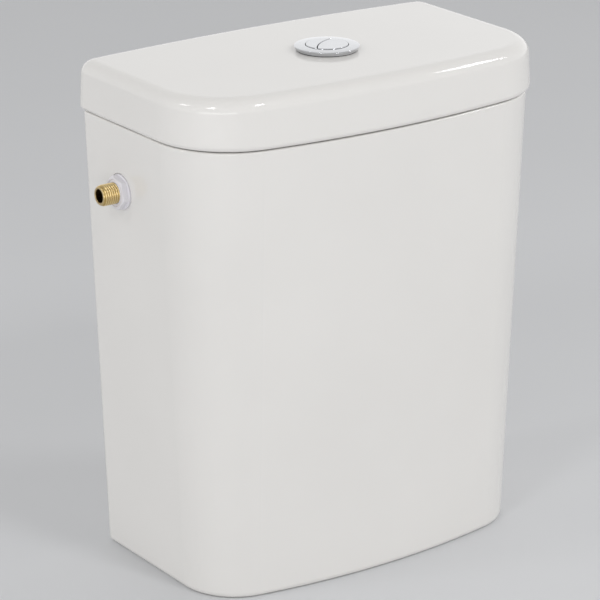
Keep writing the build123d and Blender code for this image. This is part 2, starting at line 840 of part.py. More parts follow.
# Lift rod: sits across the tube's mouth and rises through the bridge
crosshead_base = bridge_top + crosshead_rise
lift_rod_radius = lift_rod_diameter / 2
with BuildPart() as lift_rod:
    with BuildSketch(turned_plane(overflow_top)):
        Rectangle(overflow_diameter, crossbar_width)
        Circle(crossbar_width)
    extrude(amount=crossbar_height)
    with BuildSketch(turned_plane(overflow_top - lift_rod_stem)):
        Circle(lift_rod_radius)
    extrude(amount=crosshead_base - overflow_top + lift_rod_stem)
save(lift_rod, "lift_rod")

# Lift hook: from the rod's top, round the end of the full-flush lever, to a lug above it
hook_inner = lift_arm + lever_boss_diameter / 2 + hook_upright_gap
hook_outer = hook_inner + hook_upright
lug_bottom = pivot_z + lever_boss_diameter / 2 + lug_lift_gap
with BuildPart() as lift_hook:
    with BuildSketch(turned_plane(crosshead_base)):
        Rectangle(crosshead_width, crosshead_width)
        with Locations((lever_offset, hook_outer / 2)):
            Rectangle(hook_width, hook_outer)
    extrude(amount=crosshead_height)
    with BuildSketch(turned_plane(crosshead_base)):
        with Locations((lever_offset, hook_inner + hook_upright / 2)):
            Rectangle(hook_width, hook_upright)
    extrude(amount=lug_bottom + hook_lug_height - crosshead_base)
    lug_start = lift_arm - hook_lug_reach
    with BuildSketch(turned_plane(lug_bottom)):
        with Locations((lever_offset, (lug_start + hook_outer) / 2)):
            Rectangle(hook_width, hook_outer - lug_start)
    extrude(amount=hook_lug_height)
save(lift_hook, "lift_hook")

# Half-flush rod: its lug lies over the half-flush lever, its foot carries the float
half_rod_foot = tower_base + half_rod_foot_rise
with BuildPart() as half_flush_rod:
    half_lug_start = lift_arm - hook_lug_reach
    half_lug_stop = half_rod_reach + half_rod_diameter / 2 + half_lug_end / 2
    with BuildSketch(turned_plane(lug_bottom)):
        with Locations((-lever_offset, -(half_lug_start + half_lug_stop) / 2)):
            Rectangle(hook_width, half_lug_stop - half_lug_start)
        with Locations((-lever_offset, -half_rod_reach)):
            Circle(half_rod_diameter / 2 + half_lug_end / 2)
    extrude(amount=half_lug_height)
    with BuildSketch(turned_plane(half_rod_foot)):
        with Locations((-lever_offset, -half_rod_reach)):
            Circle(half_rod_diameter / 2)
    extrude(amount=lug_bottom - half_rod_foot)
save(half_flush_rod, "half_flush_rod")

float_inner_v = -(tower_radius + half_float_gap)
half_float_base = half_rod_foot + half_float_lift
with BuildPart() as half_flush_float:
    with BuildSketch(turned_plane(half_float_base)):
        with Locations((-lever_offset, float_inner_v - half_float_width / 2)):
            RectangleRounded(half_float_length, half_float_width, half_float_corner)
    extrude(amount=half_float_height)
    with BuildSketch(turned_plane(half_float_base - overrun)):
        with Locations((-lever_offset, float_inner_v - half_float_width / 2)):
            RectangleRounded(half_float_length - 2 * half_float_wall, half_float_width - 2 * half_float_wall,
                             half_float_corner - half_float_wall)
    extrude(amount=half_float_height - half_float_wall + overrun, mode=Mode.SUBTRACT)
    with BuildSketch(turned_plane(half_float_base)):
        with Locations((-lever_offset, -half_rod_reach)):
            Circle(half_rod_diameter / 2 + half_float_sleeve_wall)
        with Locations((-lever_offset, float_inner_v - half_float_width / 2)):
            RectangleRounded(half_float_length, half_float_width, half_float_corner, mode=Mode.INTERSECT)
    extrude(amount=half_float_height)
    with BuildSketch(turned_plane(half_float_base - overrun)):
        with Locations((-lever_offset, -half_rod_reach)):
            Circle(half_rod_diameter / 2 + fit_gap)
    extrude(amount=half_float_height + 2 * overrun, mode=Mode.SUBTRACT)
save(half_flush_float, "half_flush_float")


def inlet_plane(x):
    """A plane across the inlet's axis, centred on it, facing the outside of the left wall."""
    return Plane(origin=(x, inlet_y, inlet_z), x_dir=(0, -1, 0), z_dir=(-1, 0, 0))


def inlet_section():
    """The half section plane of the inlet: X outwards along the axis, Y up from it."""
    return Plane(origin=(0, inlet_y, inlet_z), x_dir=(-1, 0, 0), z_dir=(0, 1, 0))


inlet_axis = Axis((0, inlet_y, inlet_z), (-1, 0, 0))

# Inlet tail: brass thread outside the locknut, a slightly smaller one under it and through the wall,
# and a smooth shank inside the valve's barrel
tail_end = -outer_seat_x + inlet_reach
shoulder = -inner_seat_x - inlet_washer_thickness
inlet_radius = inlet_thread_diameter / 2
clamp_radius = inlet_clamp_diameter / 2
inlet_root = inlet_radius - inlet_thread_depth
inlet_bore = inlet_bore_diameter / 2
nut_face = -outer_seat_x + locknut_height
with BuildPart() as inlet_tail:
    with BuildSketch(inlet_section()):
        with BuildLine():
            Polyline(
                (shoulder - inlet_shank_length, inlet_bore),
                (shoulder - inlet_shank_length, inlet_shank_diameter / 2),
                (shoulder, inlet_shank_diameter / 2),
                *[(height, radius) for radius, height in
                  thread_profile(inlet_root, clamp_radius, shoulder, nut_face, inlet_pitch)
                  + thread_profile(inlet_root, inlet_radius, nut_face + inlet_thread_gap,
                                   tail_end - inlet_end_chamfer, inlet_pitch)],
                (tail_end, inlet_root - inlet_end_chamfer),
                (tail_end, inlet_bore),
                close=True,
            )
        make_face()
    revolve(axis=inlet_axis)
save(inlet_tail, "inlet_tail")

# Locknut: flanged hexagon with its outer corners turned off
with BuildPart() as inlet_locknut:
    with BuildSketch(inlet_plane(outer_seat_x)):
        RegularPolygon(locknut_across_flats / 2, 6, major_radius=False)
    extrude(amount=locknut_height)
    with BuildSketch(inlet_section()):
        with BuildLine():
            face_radius = locknut_across_flats / 2
            corner_radius = face_radius / cos(radians(30))
            Polyline(
                (-outer_seat_x, 0),
                (-outer_seat_x, corner_radius),
                (-outer_seat_x + locknut_height - locknut_chamfer, corner_radius),
                (-outer_seat_x + locknut_height, face_radius - fit_gap),
                (-outer_seat_x + locknut_height, 0),
                close=True,
            )
        make_face()
    revolve(axis=inlet_axis, mode=Mode.INTERSECT)
    with BuildSketch(inlet_plane(outer_seat_x)):
        Circle(locknut_flange_diameter / 2)
    extrude(amount=locknut_flange_thickness)
    with BuildSketch(inlet_plane(outer_seat_x + overrun)):
        Circle(clamp_radius + fit_gap)
    extrude(amount=locknut_height + 2 * overrun, mode=Mode.SUBTRACT)
save(inlet_locknut, "inlet_locknut")

with BuildPart() as inlet_washer:
    with BuildSketch(inlet_plane(inner_seat_x + inlet_washer_thickness)):
        Circle(inlet_washer_diameter / 2)
        Circle(clamp_radius + fit_gap, mode=Mode.SUBTRACT)
    extrude(amount=inlet_washer_thickness)
save(inlet_washer, "inlet_washer")

# Filter: slotted plastic cup inside the tail's bore
filter_radius = inlet_bore - filter_gap
with BuildPart() as inlet_filter:
    with BuildSketch(inlet_plane(-(tail_end - filter_inset - filter_length))):
        Circle(filter_radius)
    extrude(amount=filter_length)
    with BuildSketch(inlet_plane(-(tail_end - filter_inset - filter_length + filter_end))):
        Circle(filter_radius - filter_wall)
    extrude(amount=filter_length, mode=Mode.SUBTRACT)
    slot_length = filter_length - 2 * filter_end
    slot_mouth = inlet_plane(-(tail_end - filter_inset - filter_end))
    for step in range(filter_slots // 2):
        with BuildSketch(slot_mouth.rotated((0, 0, 360 * step / filter_slots))):
            Rectangle(2 * inlet_bore, filter_slot_width)
        extrude(amount=-(slot_length - filter_end), mode=Mode.SUBTRACT)
save(inlet_filter, "inlet_filter")

# Fill valve body: flange and barrel from the wall, head, and the stem that guides the float
fill_x = inner_seat_x + fill_reach
head_top = inlet_z + fill_head_rise
head_base = inlet_z - fill_head_drop
stem_foot = head_base - stem_length
collar_top = stem_foot + stem_tail
flange_x = inner_seat_x + inlet_washer_thickness
with BuildPart() as fill_valve_body:
    with BuildSketch(inlet_plane(flange_x + fill_flange_thickness)):
        Circle(inlet_washer_diameter / 2)
    extrude(amount=fill_flange_thickness)
    with BuildSketch(inlet_plane(fill_x)):
        Circle(fill_barrel_diameter / 2)
    extrude(amount=fill_x - flange_x)
    for base, top, diameter in (
        (head_base, head_top, fill_head_diameter),
        (stem_foot, head_base, stem_diameter),
        (collar_top - stem_collar_height, collar_top, stem_collar_diameter),
    ):
        with BuildSketch(Plane.XY.offset(base)):
            with Locations((fill_x, inlet_y)):
                Circle(diameter / 2)
        extrude(amount=top - base)
    with BuildSketch(inlet_plane(flange_x + inlet_shank_length)):
        Circle(inlet_shank_diameter / 2 + fit_gap)
    extrude(amount=inlet_shank_length + overrun, mode=Mode.SUBTRACT)
    with BuildSketch(inlet_plane(fill_x)):
        Circle(fill_waterway_diameter / 2)
    extrude(amount=fill_x - flange_x, mode=Mode.SUBTRACT)
    for base, top, diameter in (
        (stem_foot - overrun, head_base, stem_bore_diameter),
        (inlet_z, head_top, fill_waterway_diameter),
        (head_top - fill_chamber_depth, head_top + overrun, fill_chamber_diameter),
    ):
        with BuildSketch(Plane.XY.offset(base)):
            with Locations((fill_x, inlet_y)):
                Circle(diameter / 2)
        extrude(amount=top - base, mode=Mode.SUBTRACT)
save(fill_valve_body, "fill_valve_body")

with BuildPart() as fill_diaphragm:
    with BuildSketch(Plane.XY.offset(head_top)):
        with Locations((fill_x, inlet_y)):
            Circle(diaphragm_diameter / 2)
    extrude(amount=diaphragm_thickness)
    with BuildSketch(Plane.XY.offset(head_top - diaphragm_button_rise)):
        with Locations((fill_x, inlet_y)):
            Circle(diaphragm_button_diameter / 2)
    extrude(amount=diaphragm_button_rise)
save(fill_diaphragm, "fill_diaphragm")

# Cap: grip-edged cover over the diaphragm, with the posts of the float lever
cap_base = head_top
cap_top = cap_base + fill_cap_height
lever_z = cap_top + fill_lever_rise
lever_x = fill_x - fill_lever_back
post_half = fill_lever_boss / 2 + fill_post_gap
with BuildPart() as fill_valve_cap:
    with BuildSketch(Plane.XY.offset(cap_base)):
        with Locations((fill_x, inlet_y)):
            Circle(fill_cap_diameter / 2)
            with PolarLocations(fill_cap_diameter / 2, fill_cap_grips):
                Circle(fill_cap_grip / 2, mode=Mode.SUBTRACT)
    extrude(amount=fill_cap_height)
    with BuildSketch(Plane.XY.offset(cap_base - overrun)):
        with Locations((fill_x, inlet_y)):
            Circle(diaphragm_diameter / 2 + fit_gap)
    extrude(amount=diaphragm_thickness + overrun + fit_gap, mode=Mode.SUBTRACT)
    with BuildSketch(Plane.XY.offset(cap_top)):
        with Locations((fill_x, inlet_y)):
            Circle(fill_cap_nose / 2)
    extrude(amount=fill_cap_nose_height)
    with BuildSketch(Plane.XZ.offset(-inlet_y)):
        with Locations((lever_x, (cap_top + lever_z) / 2 - fill_cap_roof / 2)):
            Rectangle(fill_post_length, lever_z - cap_top + fill_cap_roof)
        with Locations((lever_x, lever_z)):
            Circle(fill_post_length / 2)
            Circle(fill_pin_diameter / 2 + fit_gap, mode=Mode.SUBTRACT)
    extrude(amount=post_half + fill_post_thickness, both=True)
    with BuildSketch(Plane.XZ.offset(-inlet_y)):
        with Locations((lever_x, (cap_top + lever_z) / 2 + fill_post_length / 4)):
            Rectangle(fill_post_length + 2 * overrun, lever_z - cap_top + fill_post_length / 2 + overrun)
    extrude(amount=post_half, both=True, mode=Mode.SUBTRACT)
save(fill_valve_cap, "fill_valve_cap")

with BuildPart() as fill_lever_pin:
    with BuildSketch(Plane.XZ.offset(-inlet_y)):
        with Locations((lever_x, lever_z)):
            Circle(fill_pin_diameter / 2)
    extrude(amount=post_half + fill_post_thickness + lever_pin_overhang, both=True)
save(fill_lever_pin, "fill_lever_pin")

# Float lever: tilted down at rest by half its swing
fill_swing = 2 * asin(float_travel / 2 / fill_lever_arm)
fill_tilt = degrees(fill_swing) / 2
lever_reach = fill_lever_arm * (1 + cos(fill_swing / 2)) / 2
float_rod_x = lever_x + lever_reach
tilted = Plane(origin=(lever_x, inlet_y, lever_z), x_dir=(cos(fill_swing / 2), 0, -sin(fill_swing / 2)),
               z_dir=(0, -1, 0))
tilted_top = Plane(origin=(lever_x, inlet_y, lever_z), x_dir=tilted.x_dir, z_dir=tilted.y_dir)
with BuildPart() as fill_lever:
    with BuildSketch(tilted):
        with Locations((fill_lever_arm / 2 + fill_lever_tip / 2, 0)):
            Rectangle(fill_lever_arm + fill_lever_tip, fill_lever_bar)
        Circle(fill_lever_boss / 2)
    extrude(amount=fill_lever_width / 2, both=True)
    with BuildSketch(tilted_top):
        with Locations((fill_lever_arm, 0)):
            Rectangle(2 * fill_lever_slot, fill_lever_slot_width)
    extrude(amount=fill_lever_bar, both=True, mode=Mode.SUBTRACT)
    with BuildSketch(tilted):
        Circle(fill_pin_diameter / 2 + pin_gap)
    extrude(amount=fill_lever_width, both=True, mode=Mode.SUBTRACT)
save(fill_lever, "fill_lever")

# Float: ring-shaped cup that slides on the stem and hangs its rod in the lever's slot
float_base = collar_top + running_gap
float_top = float_base + float_height
stem_hole = stem_diameter / 2 + running_gap
with BuildPart() as fill_float:
    with BuildSketch(Plane.XY.offset(float_base)):
        with Locations((fill_x, inlet_y)):
            Circle(float_diameter / 2)
    extrude(amount=float_height)
    fillet(fill_float.faces().sort_by(Axis.Z)[-1].edges(), float_wall)
    with BuildSketch(Plane.XY.offset(float_base - overrun)):
        with Locations((fill_x, inlet_y)):
            Circle(float_diameter / 2 - float_wall)
            Circle(stem_hole + float_wall, mode=Mode.SUBTRACT)
    extrude(amount=float_height - float_wall + overrun, mode=Mode.SUBTRACT)
    with BuildSketch(Plane.XY.offset(float_top - float_boss_height)):
        with Locations((float_rod_x, inlet_y)):
            Circle(float_boss_diameter / 2)
    extrude(amount=float_boss_height + float_boss_rise)
    with BuildSketch(Plane.XY.offset(float_base - overrun)):
        with Locations((fill_x, inlet_y)):
            Circle(stem_hole)
        with Locations((float_rod_x, inlet_y)):
            Circle(float_rod_diameter / 2 + fit_gap)
    extrude(amount=float_height + float_boss_rise + 2 * overrun, mode=Mode.SUBTRACT)
save(fill_float, "fill_float")

tip_z = lever_z - fill_lever_arm * sin(fill_swing / 2)
clip_offset = fill_lever_bar / 2 / cos(fill_swing / 2) + clip_diameter / 2 * tan(fill_swing / 2) + clip_gap
with BuildPart() as float_rod:
    with BuildSketch(Plane.XY.offset(float_top - float_rod_tail)):
        with Locations((float_rod_x, inlet_y)):
            Circle(float_rod_diameter / 2)
    extrude(amount=tip_z + float_rod_top - float_top + float_rod_tail)
save(float_rod, "float_rod")

with BuildPart() as float_clips:
    for base in (tip_z + clip_offset, tip_z - clip_offset - clip_height):
        with BuildSketch(Plane.XY.offset(base)):
            with Locations((float_rod_x, inlet_y)):
                Circle(clip_diameter / 2)
                Circle(float_rod_diameter / 2 + fit_gap, mode=Mode.SUBTRACT)
        extrude(amount=clip_height)
save(float_clips, "float_clips")

# Discharge tube: slips over the stem's foot and lets the water in quietly near the floor
tube_top = stem_foot + discharge_cover
tube_base = tank_floor + discharge_floor_gap
tube_bore = stem_diameter / 2 + fit_gap
with BuildPart() as discharge_tube:
    with BuildSketch(Plane.XY.offset(tube_base)):
        with Locations((fill_x, inlet_y)):
            Circle(tube_bore + discharge_wall)
            Circle(tube_bore, mode=Mode.SUBTRACT)
    extrude(amount=tube_top - tube_base)
save(discharge_tube, "discharge_tube")

print("lever swing, degrees", round(degrees(asin(press_travel / press_arm)), 3))
print("seal lift, mm", round(lift_travel, 3))
print("float lever swing, degrees", round(2 * fill_tilt, 3))
print("lever pivot z", pivot_z, "fill lever pivot", round(lever_x, 3), round(inlet_y, 3), round(lever_z, 3))
print("inlet seat x", round(outer_seat_x, 3), "inlet z", inlet_z, "tail end x", round(-tail_end, 3))
print("inlet thread from x", round(-nut_face - inlet_thread_gap, 3))
print("spring foot z", round(cradle_top, 3), "button top z", round(button_top, 3))
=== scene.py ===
import json
import math

import bmesh
import bpy
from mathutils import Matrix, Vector


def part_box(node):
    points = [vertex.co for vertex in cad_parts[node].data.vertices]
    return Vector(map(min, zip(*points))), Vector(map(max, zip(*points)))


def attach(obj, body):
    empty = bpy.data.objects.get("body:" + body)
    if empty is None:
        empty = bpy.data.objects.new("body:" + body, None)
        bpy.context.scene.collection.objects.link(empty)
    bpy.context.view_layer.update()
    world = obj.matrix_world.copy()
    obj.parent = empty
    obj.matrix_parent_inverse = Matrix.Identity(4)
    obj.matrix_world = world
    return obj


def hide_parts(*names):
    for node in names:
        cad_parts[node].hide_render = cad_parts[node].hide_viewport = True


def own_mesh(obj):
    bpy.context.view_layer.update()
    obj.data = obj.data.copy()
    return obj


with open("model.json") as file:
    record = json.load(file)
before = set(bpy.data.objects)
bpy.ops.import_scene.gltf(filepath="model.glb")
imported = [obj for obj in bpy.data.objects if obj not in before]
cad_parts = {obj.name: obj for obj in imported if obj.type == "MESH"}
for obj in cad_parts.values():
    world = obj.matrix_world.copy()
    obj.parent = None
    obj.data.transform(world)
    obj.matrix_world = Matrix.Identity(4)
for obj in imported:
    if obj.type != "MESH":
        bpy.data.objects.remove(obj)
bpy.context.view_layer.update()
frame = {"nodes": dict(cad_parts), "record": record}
mm = 0.001
print("frame loaded:", len(frame["nodes"]), "nodes")


def toLinear(hexColour):
    channels = [int(hexColour[k:k + 2], 16) / 255 for k in (1, 3, 5)]
    return [c / 12.92 if c <= 0.04045 else ((c + 0.055) / 1.055) ** 2.4 for c in channels] + [1.0]


def tonePair(darker, lighter):
    # settings for mixing two hex colours
    return {"data_type": "RGBA", 6: toLinear(darker), 7: toLinear(lighter)}


def addNode(tree, kind, settings=None, links=None):
    made = tree.nodes.new(kind)
    for key, value in (settings or {}).items():
        if isinstance(key, str) and key[0].islower():
            setattr(made, key, value)
        else:
            made.inputs[key].default_value = value
    for key, source in (links or {}).items():
        tree.links.new(source, made.inputs[key])
    return made


def startMaterial(name):
    material = bpy.data.materials.new(name)
    material.use_nodes = True
    tree = material.node_tree
    tree.nodes.clear()
    place = addNode(tree, "ShaderNodeTexCoord").outputs["Object"]
    return material, tree, place


def endMaterial(tree, settings, links):
    shader = addNode(tree, "ShaderNodeBsdfPrincipled", settings, links)
    addNode(tree, "ShaderNodeOutputMaterial", {}, {"Surface": shader.outputs["BSDF"]})


# Vitreous china, slip-cast, then dipped in a white tin glaze and fired: a deep even gloss with a faint
# ripple. The glaze was wiped off the face that the tank stands on: bare sandy clay, up to a wavering line.
chinaLook = {
    "glaze": ("#E6E4E1", "#EDEBE8"), "cloudMm": 120, "rough": (0.07, 0.13), "ior": 1.52,
    "rippleMm": 38, "rippleDepthMm": 0.05, "rippleStrength": 0.5,
    "bareClay": ("#CFC9BF", "#DDD8CE"), "gritMm": 1.5, "bareRough": 0.82, "bareEdgeMm": 1.0, "edgeStart": 0.6,
}


def glazedVitreousChina():
    material, tree, place = startMaterial("glazedVitreousChina")
    look = chinaLook
    cloud = addNode(tree, "ShaderNodeTexNoise", {"Scale": 1000 / look["cloudMm"], "Detail": 2.0},
                    {"Vector": place}).outputs["Fac"]
    ripple = addNode(tree, "ShaderNodeTexNoise", {"Scale": 1000 / look["rippleMm"], "Detail": 1.0},
                     {"Vector": place}).outputs["Fac"]
    grit = addNode(tree, "ShaderNodeTexNoise", {"Scale": 1000 / look["gritMm"], "Detail": 5.0},
                   {"Vector": place}).outputs["Fac"]
    bump = addNode(tree, "ShaderNodeBump", {"Strength": look["rippleStrength"],
                                            "Distance": look["rippleDepthMm"] * mm}, {"Height": ripple})
    glaze = addNode(tree, "ShaderNodeMix", tonePair(*look["glaze"]), {0: cloud})
    clay = addNode(tree, "ShaderNodeMix", tonePair(*look["bareClay"]), {0: grit})
    gloss = addNode(tree, "ShaderNodeMapRange", {"To Min": look["rough"][0], "To Max": look["rough"][1]},
                    {"Value": ripple})
    # 0 on the bare foot, 1 from the edge of the glaze upwards
    edge = look["bareEdgeMm"] * mm
    height = addNode(tree, "ShaderNodeSeparateXYZ", {}, {"Vector": place}).outputs["Z"]
    wavering = addNode(tree, "ShaderNodeMath", {"operation": "MULTIPLY_ADD", 1: edge}, {0: cloud, 2: height})
    glazed = addNode(tree, "ShaderNodeMapRange", {"From Min": look["edgeStart"] * edge, "From Max": edge},
                     {"Value": wavering.outputs[0]}).outputs["Result"]
    colour = addNode(tree, "ShaderNodeMix", {"data_type": "RGBA"},
                     {0: glazed, 6: clay.outputs[2], 7: glaze.outputs[2]})
    rough = addNode(tree, "ShaderNodeMix", {"data_type": "FLOAT", 2: look["bareRough"]},
                    {0: glazed, 3: gloss.outputs["Result"]})
    endMaterial(tree, {"IOR": look["ior"]}, {
        "Base Color": colour.outputs[2], "Roughness": rough.outputs[0], "Normal": bump.outputs["Normal"]})
    return material


# ABS moulding, plated with copper, nickel and chrome: chrome sends back six tenths of the light, hence its
# grey sides, with a trace of polishing haze
chromeLook = {"tones": ("#CDCFD2", "#D6D7DA"), "hazeMm": 6, "rough": (0.07, 0.14)}


def chromePlatedAbs():
    material, tree, place = startMaterial("chromePlatedAbs")
    look = chromeLook
    haze = addNode(tree, "ShaderNodeTexNoise", {"Scale": 1000 / look["hazeMm"], "Detail": 4.0},
                   {"Vector": place}).outputs["Fac"]
    colour = addNode(tree, "ShaderNodeMix", tonePair(*look["tones"]), {0: haze})
    rough = addNode(tree, "ShaderNodeMapRange", {"To Min": look["rough"][0], "To Max": look["rough"][1]},
                    {"Value": haze})
    endMaterial(tree, {"Metallic": 1.0}, {
        "Base Color": colour.outputs[2], "Roughness": rough.outputs["Result"]})
    return material


# Free-cutting brass, turned on a lathe: warm yellow, with painted shade in the bore and thread roots,
# painted highlight on the crests, and a paler end face. The tones go by distance in mm from the tail's own
# axis.
# Real tool marks are about 0.1 mm apart; they are drawn as slow waves 3 mm apart so that they show.
brassLook = {
    # tones by radius: painted shade dark in the bore and thread roots, painted highlight pale on the crests
    "tones": ((5.3, "#6E5326"), (5.8, "#D9C59B"), (7.0, "#DDC795"), (7.5, "#C9AC6C"), (8.2, "#F3DEAC")),
    "axisNode": "inlet_tail", "reachMm": 10.0, "tarnish": ("#EEE9DF", "#FFFFFF"), "tarnishMm": 7,
    "ringMm": 3.14, "ringDepthMm": 0.02, "ringStrength": 0.2, "rough": (0.26, 0.38),
}
waveLength = 2 * math.pi / 20  # a wave texture's own length at scale 1


def turnedBrass():
    material, tree, place = startMaterial("turnedBrass")
    look = brassLook
    low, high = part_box(look["axisNode"])
    centre = (low + high) / 2
    flat = addNode(tree, "ShaderNodeVectorMath", {"operation": "MULTIPLY_ADD", 1: (0, 1, 1),
                                                  2: (0, -centre.y, -centre.z)}, {0: place})
    reach = addNode(tree, "ShaderNodeVectorMath", {"operation": "LENGTH"}, {0: flat.outputs["Vector"]})
    share = addNode(tree, "ShaderNodeMath", {"operation": "DIVIDE", 1: look["reachMm"] * mm},
                    {0: reach.outputs["Value"]})
    # this ramp paints shade into the bore and thread roots and a highlight onto the crests
    ramp = addNode(tree, "ShaderNodeValToRGB", {}, {"Fac": share.outputs[0]})
    stops = ramp.color_ramp.elements
    while len(stops) < len(look["tones"]):
        stops.new(0.5)
    for stop, (radius, tone) in zip(stops, look["tones"]):
        stop.position, stop.color = radius / look["reachMm"], toLinear(tone)
    tarnish = addNode(tree, "ShaderNodeTexNoise", {"Scale": 1000 / look["tarnishMm"], "Detail": 3.0},
                      {"Vector": place}).outputs["Fac"]
    film = addNode(tree, "ShaderNodeMix", tonePair(*look["tarnish"]), {0: tarnish})
    colour = addNode(tree, "ShaderNodeMix", {"data_type": "RGBA", "blend_type": "MULTIPLY", 0: 1.0},
                     {6: ramp.outputs["Color"], 7: film.outputs[2]})
    rough = addNode(tree, "ShaderNodeMapRange", {"To Min": look["rough"][0], "To Max": look["rough"][1]},
                    {"Value": tarnish})
    rings = addNode(tree, "ShaderNodeTexWave", {
        "bands_direction": "X", "Distortion": 0.4, "Detail": 1.0,
        "Scale": waveLength * 1000 / look["ringMm"]}, {"Vector": place}).outputs["Fac"]
    bump = addNode(tree, "ShaderNodeBump", {"Strength": look["ringStrength"],
                                            "Distance": look["ringDepthMm"] * mm}, {"Height": rings})
    endMaterial(tree, {"Metallic": 1.0}, {
        "Base Color": colour.outputs[2], "Roughness": rough.outputs["Result"],
        "Normal": bump.outputs["Normal"]})
    return material


# Injection moulded plastics: even colour with a slight cloud from the flow, and the mould's fine spark grain.
# Real spark grain is under 0.1 mm; it is drawn near 1 mm so that it shows.
mouldLook = {"flowMm": 25, "flowBend": 0.6, "grainDepthMm": 0.03, "grainStrength": 0.3, "ior": 1.49}
plastics = {
    "pale_plastic": ("mouldedPaleNylon", ("#E4E2E7", "#EDEBEF"), 0.8, (0.3, 0.42)),
    "white_plastic": ("mouldedWhitePolypropylene", ("#DFDEDA", "#E8E7E3"), 0.9, (0.38, 0.52)),
    "grey_plastic": ("mouldedGreyAcetal", ("#70757B", "#7C8187"), 0.7, (0.3, 0.42)),
    "blue_plastic": ("mouldedBluePolypropylene", ("#3A6799", "#4777AA"), 0.9, (0.36, 0.5)),
}


def mouldedPlastic(name, tones, grainMm, roughRange):
    material, tree, place = startMaterial(name)
    look = mouldLook
    flow = addNode(tree, "ShaderNodeTexNoise", {"Scale": 1000 / look["flowMm"], "Detail": 2.0,
                                                "Distortion": look["flowBend"]}, {"Vector": place})
    grain = addNode(tree, "ShaderNodeTexNoise", {"Scale": 1000 / grainMm, "Detail": 3.0},
                    {"Vector": place}).outputs["Fac"]
    colour = addNode(tree, "ShaderNodeMix", tonePair(*tones), {0: flow.outputs["Fac"]})
    rough = addNode(tree, "ShaderNodeMapRange", {"To Min": roughRange[0], "To Max": roughRange[1]},
                    {"Value": grain})
    bump = addNode(tree, "ShaderNodeBump", {"Strength": look["grainStrength"],
                                            "Distance": look["grainDepthMm"] * mm}, {"Height": grain})
    endMaterial(tree, {"IOR": look["ior"]}, {
        "Base Color": colour.outputs[2], "Roughness": rough.outputs["Result"],
        "Normal": bump.outputs["Normal"]})
    return material


# Compression moulded elastomers: matt, with a soft mottled bloom and a slightly uneven skin
pressLook = {"bloomMm": 9, "skinMm": 0.9, "skinDepthMm": 0.05, "skinStrength": 0.4, "ior": 1.5}
rubbers = {
    "black_rubber": ("pressedBlackEpdm", ("#19191A", "#262627"), (0.7, 0.85)),
    "seal_rubber": ("pressedRedSilicone", ("#86301F", "#9A3C29"), (0.5, 0.62)),
    "clear_rubber": ("pressedSoftVinyl", ("#D2D1C9", "#DEDDD6"), (0.4, 0.55)),
}


def pressedRubber(name, tones, roughRange):
    material, tree, place = startMaterial(name)
    look = pressLook
    bloom = addNode(tree, "ShaderNodeTexNoise", {"Scale": 1000 / look["bloomMm"], "Detail": 5.0},
                    {"Vector": place}).outputs["Fac"]
    skin = addNode(tree, "ShaderNodeTexNoise", {"Scale": 1000 / look["skinMm"], "Detail": 2.0},
                   {"Vector": place}).outputs["Fac"]
    colour = addNode(tree, "ShaderNodeMix", tonePair(*tones), {0: bloom})
    rough = addNode(tree, "ShaderNodeMapRange", {"To Min": roughRange[0], "To Max": roughRange[1]},
                    {"Value": bloom})
    bump = addNode(tree, "ShaderNodeBump", {"Strength": look["skinStrength"],
                                            "Distance": look["skinDepthMm"] * mm}, {"Height": skin})
    endMaterial(tree, {"IOR": look["ior"]}, {
        "Base Color": colour.outputs[2], "Roughness": rough.outputs["Result"],
        "Normal": bump.outputs["Normal"]})
    return material


# Stainless wire drawn through a die: grey metal, a little uneven in tone and shine.
# Real drawing marks are under 0.05 mm wide; they are drawn 0.6 mm wide so that they show.
wireLook = {"tones": ("#A9A9A6", "#C2C2C0"), "markMm": 0.6, "rough": (0.24, 0.38)}


def drawnStainlessWire():
    material, tree, place = startMaterial("drawnStainlessWire")
    look = wireLook
    marks = addNode(tree, "ShaderNodeTexNoise", {"Scale": 1000 / look["markMm"], "Detail": 3.0},
                    {"Vector": place}).outputs["Fac"]
    colour = addNode(tree, "ShaderNodeMix", tonePair(*look["tones"]), {0: marks})
    rough = addNode(tree, "ShaderNodeMapRange", {"To Min": look["rough"][0], "To Max": look["rough"][1]},
                    {"Value": marks})
    endMaterial(tree, {"Metallic": 1.0}, {
        "Base Color": colour.outputs[2], "Roughness": rough.outputs["Result"]})
    return material


finishes = {"glazed_china": glazedVitreousChina(), "chrome_plate": chromePlatedAbs(), "brass": turnedBrass()}
finishes.update({slot: mouldedPlastic(*values) for slot, values in plastics.items()})
finishes.update({slot: pressedRubber(*values) for slot, values in rubbers.items()})
finishes["spring_steel"] = drawnStainlessWire()
slotOfNode = {entry["node"]: entry["material_slot"] for entry in frame["record"]["subparts"]}
bodyOfNode = {node: body for body, nodes in frame["record"]["behaviour"]["bodies"].items() for node in nodes}
for name, node in frame["nodes"].items():
    node.data.materials.clear()
    node.data.materials.append(finishes[slotOfNode[name]])
print("materials made:", len(finishes))


def dressNode(piece, node):
    # the piece takes the CAD node's finish, body and slot, and stands in for it
    piece.data.materials.clear()
    piece.data.materials.append(finishes[slotOfNode[node]])
    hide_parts(node)
    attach(piece, bodyOfNode[node])
    print("piece made:", piece.name, len(piece.data.polygons), "faces")


def footOf(node):
    # the lowest point of an upright node's axis, and its height in mm
    low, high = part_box(node)
    return Vector(((low.x + high.x) / 2, (low.y + high.y) / 2, low.z)), (high.z - low.z) / mm


def innerEndOf(node):
    # the inner end of the axis of a node that goes out to the left, and its length in mm
    low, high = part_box(node)
    return Vector((high.x, (low.y + high.y) / 2, (low.z + high.z) / 2)), (high.x - low.x) / mm


def stretch(radius, start, end, step):
    # evenly spaced outline points at one radius
    count = max(1, round((end - start) / step))
    return [(radius, start + (end - start) * k / count) for k in range(count + 1)]


def quarter(radius, distance, corner, start, end, steps=5):
    # outline points of a rounded corner about (radius, distance), angles in degrees
    angles = [math.radians(start + (end - start) * k / steps) for k in range(steps + 1)]
    return [(radius + corner * math.cos(a), distance + corner * math.sin(a)) for a in angles]


